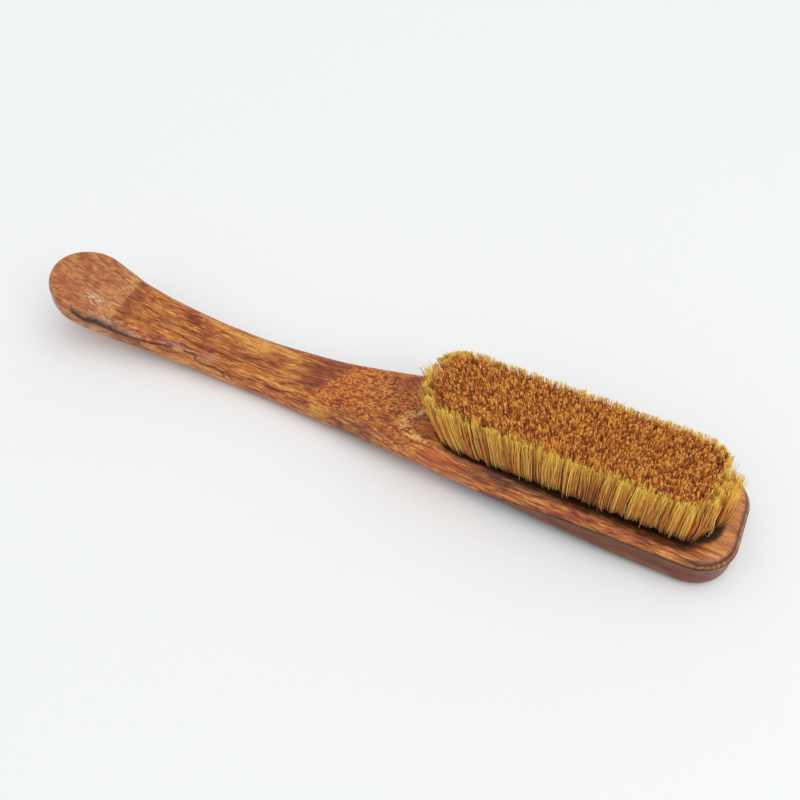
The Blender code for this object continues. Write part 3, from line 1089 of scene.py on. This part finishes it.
def wood_material():
    """Figured hardwood under varnish: streaks along the grain, pores, figure, marks of wear, and painted
    shade, highlights and reflections.
    """
    g = Graph("varnished_wood")
    grain = g.attribute("grain", "Vector")

    slow = g.noise(g.stretched(grain, (0.07, 0.20, 0.20)), 2.0)
    drift = g.times(g.maths("SUBTRACT", slow, 0.5), 2.6)
    bent = g.added(grain, g.combined(0.0, drift, drift))
    streaks = g.noise(g.stretched(bent, (0.060, 0.75, 0.75)), 4.0, 0.62, 0.3)
    fibres = g.noise(g.stretched(bent, (0.19, 1.9, 1.9), (7.0, 3.0, 1.0)), 4.0, 0.66, 0.3)
    pores = g.noise(g.stretched(bent, (0.40, 3.6, 3.6), (2.0, 9.0, 4.0)), 1.0)
    blotch = g.noise(g.stretched(grain, (0.10, 0.20, 0.20), (31.0, 5.0, 2.0)), 2.0)

    blend = g.plus(g.times(streaks, 0.42), g.times(fibres, 0.58))
    # Painted highlight along the far edge of the waist, drawn as golden streaks in the grain.
    blend = g.plus(blend, g.times(g.attribute("far_edge_highlight"), 0.055))
    blend = g.plus(blend, g.times(g.maths("SUBTRACT", blotch, 0.5), 0.16))
    colour = g.ramp(blend, (
        (0.375, DARK_STREAK), (0.448, RED_BROWN), (0.516, ORANGE_BROWN), (0.612, GOLD_STREAK),
    ))

    spots = g.noise(g.stretched(grain, (0.50, 0.95, 0.95), (4.0, 4.0, 4.0)), 3.0, 0.6, 1.2)
    speckled = g.ramp(spots, (
        (0.38, srgb(112, 38, 16)), (0.48, srgb(166, 74, 28)), (0.58, srgb(222, 142, 52)),
    ))
    colour = g.marked(colour, "speckle", 0.90, speckled)

    colour = g.marked(colour, "deep", g.rescaled(fibres, 0.35, 0.62, 0.78, 0.40), srgb(122, 48, 22))

    # The pad's lighter, pinker tone: its own mottle, partly a painted reflection of its tilted facet.
    mottle = g.noise(g.stretched(grain, (0.22, 0.85, 0.85), (12.0, 1.0, 8.0)), 4.0, 0.66, 0.5)
    pad_colour = g.ramp(mottle, (
        (0.36, srgb(146, 70, 42)), (0.50, srgb(174, 102, 64)), (0.62, srgb(202, 148, 90)),
    ))
    colour = g.marked(colour, "pad", 0.72, pad_colour)
    paler = g.times(g.attribute("pale"), g.rescaled(fibres, 0.45, 0.62))
    colour = g.mixed(g.times(paler, 0.6), colour, srgb(226, 178, 100))
    # Darker in the crease: painted shade in its hollow, and dirt.
    colour = g.marked(colour, "crease", 0.38, srgb(112, 54, 38))

    # A pale spot of painted reflection on the pad, broken up by noise; the spot is also made rougher.
    spot_breakup = g.rescaled(g.noise(g.stretched(grain, (0.5, 1.3, 1.3), (3.0, 3.0, 9.0)), 3.0), 0.42, 0.60)
    colour = g.marked(colour, "sheen_spot", spot_breakup, srgb(232, 200, 176))
    colour = g.marked(colour, "flake", g.rescaled(fibres, 0.38, 0.52, 0.15, 0.85), GREY_WEAR)
    colour = g.marked(colour, "knots", 0.70, srgb(84, 48, 36))
    colour = g.marked(colour, "flash", g.rescaled(spots, 0.42, 0.54, 0.05, 0.95), srgb(240, 196, 112))
    colour = g.marked(colour, "flash_line", 0.7, srgb(98, 58, 56))

    uneven = g.rescaled(fibres, 0.38, 0.62, 1.3, 0.5)
    for zone, share, tone in (
        ("dull", 0.34, srgb(96, 54, 30)),
        ("rosy", 0.36, srgb(196, 92, 42)),
        # Painted highlight on the top at the head's end.
        ("head_end_highlight", 0.28, srgb(226, 168, 116)),
    ):
        amount = g.times(g.times(g.attribute(zone), uneven), share)
        colour = g.mixed(amount, colour, tone)

    # Painted shade on the side below the cut line.
    colour = g.marked(colour, "below", 0.80, srgb(84, 34, 18))
    # Painted dark reflection on the shoulder round the head's end.
    colour = g.marked(colour, "corner", 0.88, srgb(34, 14, 12))
    pore_mask = g.times(g.rescaled(pores, 0.36, 0.28), 0.55)
    colour = g.mixed(pore_mask, colour, srgb(64, 28, 14))
    smear = g.noise(g.stretched(grain, (0.25, 1.2, 1.2), (9.0, 0.0, 2.0)), 3.0)
    smear = g.times(g.rescaled(smear, 0.36, 0.58, 0.62, 1.0), 0.96)
    colour = g.marked(colour, "smoke", smear, SMOKE)
    colour = g.marked(colour, "stain", 0.95, STAIN)
    colour = g.marked(colour, "line", 0.95, srgb(20, 10, 8))
    colour = g.marked(colour, "halo", 0.45, srgb(88, 52, 40))
    colour = g.marked(colour, "crack", 0.90, srgb(34, 18, 14))
    g.put(g.shader, "Base Color", colour)

    matt = g.maths("MAXIMUM", g.attribute("crack"), g.attribute("sheen_spot"))
    matt = g.maths("MAXIMUM", g.attribute("flake"), matt)
    rough = g.plus(g.rescaled(fibres, 0.3, 0.7, 0.42, 0.30), g.times(matt, 0.25))
    g.put(g.shader, "Roughness", rough)
    g.put(g.shader, "Specular IOR Level", 0.34)
    g.put(g.shader, "Coat Weight", 0.12)
    g.put(g.shader, "Coat Roughness", 0.12)

    height = g.plus(g.times(fibres, 0.6), g.rescaled(pores, 0.28, 0.38))
    g.put(g.shader, "Normal", g.bumped(height, 0.35, 0.00012))
    return g.material


def bristle_material():
    """Natural hair: golden, tan and dark hairs, browner at the cut tips, with painted glow, shade and
    highlights.
    """
    g = Graph("natural_bristle")
    shade = g.attribute("shade")
    along = g.attribute("along")
    lock = g.attribute("lock")
    outer = g.attribute("outer")
    # Each hair's tone from its own chance and its lock's. The ramp's dark end is partly painted shade in
    # the gaps between locks, and its bright end partly painted highlights on strands.
    mingled = g.plus(g.times(shade, 0.42), g.times(lock, 0.58))
    body = g.ramp(mingled, (
        (0.10, srgb(72, 30, 8)),
        (0.28, srgb(194, 94, 26)),
        (0.46, srgb(248, 156, 56)),
        (0.74, srgb(255, 214, 98)),
    ))
    tips = g.ramp(g.plus(g.times(shade, 0.40), g.times(lock, 0.60)), (
        (0.14, srgb(84, 34, 8)),
        (0.38, srgb(178, 84, 24)),
        (0.58, srgb(220, 128, 40)),
        (0.86, srgb(252, 196, 84)),
    ))
    # The inner hairs turn browner towards their tips, partly with painted shade from between the hairs.
    inner = g.maths("SUBTRACT", 1.0, g.times(outer, 0.90))
    share = g.times(g.rescaled(along, 0.62, 0.97), inner)
    colour = g.mixed(share, body, tips)
    # Painted glow of light through the outer hairs, towards their cut ends.
    paler = g.times(outer, g.rescaled(along, 0.62, 0.97))
    paler = g.times(paler, g.rescaled(mingled, 0.20, 0.60, 0.12, 0.95))
    colour = g.mixed(paler, colour, srgb(255, 218, 96))
    # Darker towards the roots: painted shade deep in the tuft, with dirt at the roots.
    rooted = g.rescaled(along, 0.32, 0.04)
    colour = g.mixed(g.times(rooted, 0.72), colour, srgb(98, 44, 14))
    g.put(g.shader, "Base Color", colour)
    g.put(g.shader, "Roughness", 0.42)
    g.put(g.shader, "Specular IOR Level", 0.35)
    g.put(g.shader, "Sheen Weight", 0.15)
    g.put(g.shader, "Sheen Roughness", 0.4)
    return g.material


def floor_material():
    """Matt white studio paper."""
    g = Graph("studio_paper")
    texture = g.nodes.new("ShaderNodeTexCoord")
    tooth = g.noise(g.stretched(texture.outputs["Object"], (PAPER_TOOTH,) * 3), 3.0)
    g.put(g.shader, "Base Color", g.ramp(tooth, PAPER_COLOURS))
    g.put(g.shader, "Roughness", 0.85)
    g.put(g.shader, "Specular IOR Level", 0.1)
    return g.material


# ---- Studio ----


def make_floor():
    """A round paper floor that sweeps up into a low wall all round."""
    profile = [(0.0, 0.0), (FLOOR_INNER_RADIUS, 0.0), (FLOOR_RADIUS, 0.0)]
    for step in range(1, SWEEP_STEPS + 1):
        angle = 0.5 * math.pi * step / SWEEP_STEPS
        out = FLOOR_RADIUS + SWEEP_RADIUS * math.sin(angle)
        profile.append((out, SWEEP_HEIGHT * (1.0 - math.cos(angle))))
    verts = [(0.0, 0.0, 0.0)]
    for turn in range(FLOOR_TURNS):
        angle = 2.0 * math.pi * turn / FLOOR_TURNS
        verts += [(r * math.cos(angle), r * math.sin(angle), z) for r, z in profile[1:]]
    depth = len(profile) - 1
    faces = []
    for turn in range(FLOOR_TURNS):
        here = 1 + turn * depth
        after = 1 + (turn + 1) % FLOOR_TURNS * depth
        faces.append((0, here, after))
        faces += [(here + k, here + k + 1, after + k + 1, after + k) for k in range(depth - 1)]
    mesh = bpy.data.meshes.new("paper_floor")
    mesh.from_pydata(verts, [], faces)
    mesh.polygons.foreach_set("use_smooth", [True] * len(mesh.polygons))
    mesh.materials.append(floor_material())
    floor = bpy.data.objects.new("paper_floor", mesh)
    bpy.context.scene.collection.objects.link(floor)


def aim(item, direction):
    """Turns a lamp so that its light comes from a direction."""
    item.rotation_mode = "QUATERNION"
    item.rotation_quaternion = Vector(direction).to_track_quat("Z", "Y")


def make_lights():
    """A broad light from above, a weaker one from the near side, a small one, and a pale room."""
    for name, direction, strength, angle in SUNS:
        lamp = bpy.data.lights.new(name, "SUN")
        lamp.energy = strength
        lamp.angle = math.radians(angle)
        item = bpy.data.objects.new(name, lamp)
        bpy.context.scene.collection.objects.link(item)
        aim(item, direction)

    lamp = bpy.data.lights.new("corner_light", "AREA")
    lamp.energy = CORNER_LIGHT_POWER
    lamp.size = CORNER_LIGHT_SIZE
    item = bpy.data.objects.new("corner_light", lamp)
    bpy.context.scene.collection.objects.link(item)
    direction = Vector(CORNER_LIGHT_DIRECTION).normalized()
    item.location = Vector(CORNER_LIGHT_AIM) + CORNER_LIGHT_DISTANCE * direction
    aim(item, direction)

    world = bpy.data.worlds.new("studio_room")
    world.use_nodes = True
    background = world.node_tree.nodes["Background"]
    background.inputs["Color"].default_value = ROOM_COLOUR
    background.inputs["Strength"].default_value = ROOM_STRENGTH
    bpy.context.scene.world = world


def make_camera():
    """The camera, from above the near side and towards the head."""
    data = bpy.data.cameras.new("camera")
    data.lens = CAMERA_LENS
    data.shift_x = CAMERA_SHIFT_X
    data.clip_start = 0.01
    item = bpy.data.objects.new("camera", data)
    azimuth = Matrix.Rotation(math.radians(CAMERA_AZIMUTH), 4, "Z")
    tilt = Matrix.Rotation(math.radians(90.0 - CAMERA_ELEVATION), 4, "X")
    roll = Matrix.Rotation(math.radians(CAMERA_ROLL), 4, "Z")
    item.matrix_world = Matrix.Translation(CAMERA_PLACE) @ azimuth @ tilt @ roll
    bpy.context.scene.collection.objects.link(item)
    bpy.context.scene.camera = item


# ---- Everything ----


def build():
    """Makes the whole scene."""
    make_camera()
    make_lights()
    make_floor()
    scene = bpy.context.scene
    scene.view_settings.view_transform = "Standard"

    handle = make_handle()
    handle.data.materials.append(wood_material())
    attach(handle, BODY)
    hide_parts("handle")

    bristle = bristle_material()
    pose = resting_pose()
    for column in range(COLUMNS):
        for row in range(ROWS):
            if column == COLUMNS - 1 and row in (0, ROWS - 1):
                continue
            make_tuft(column, row, bristle, pose)


build()
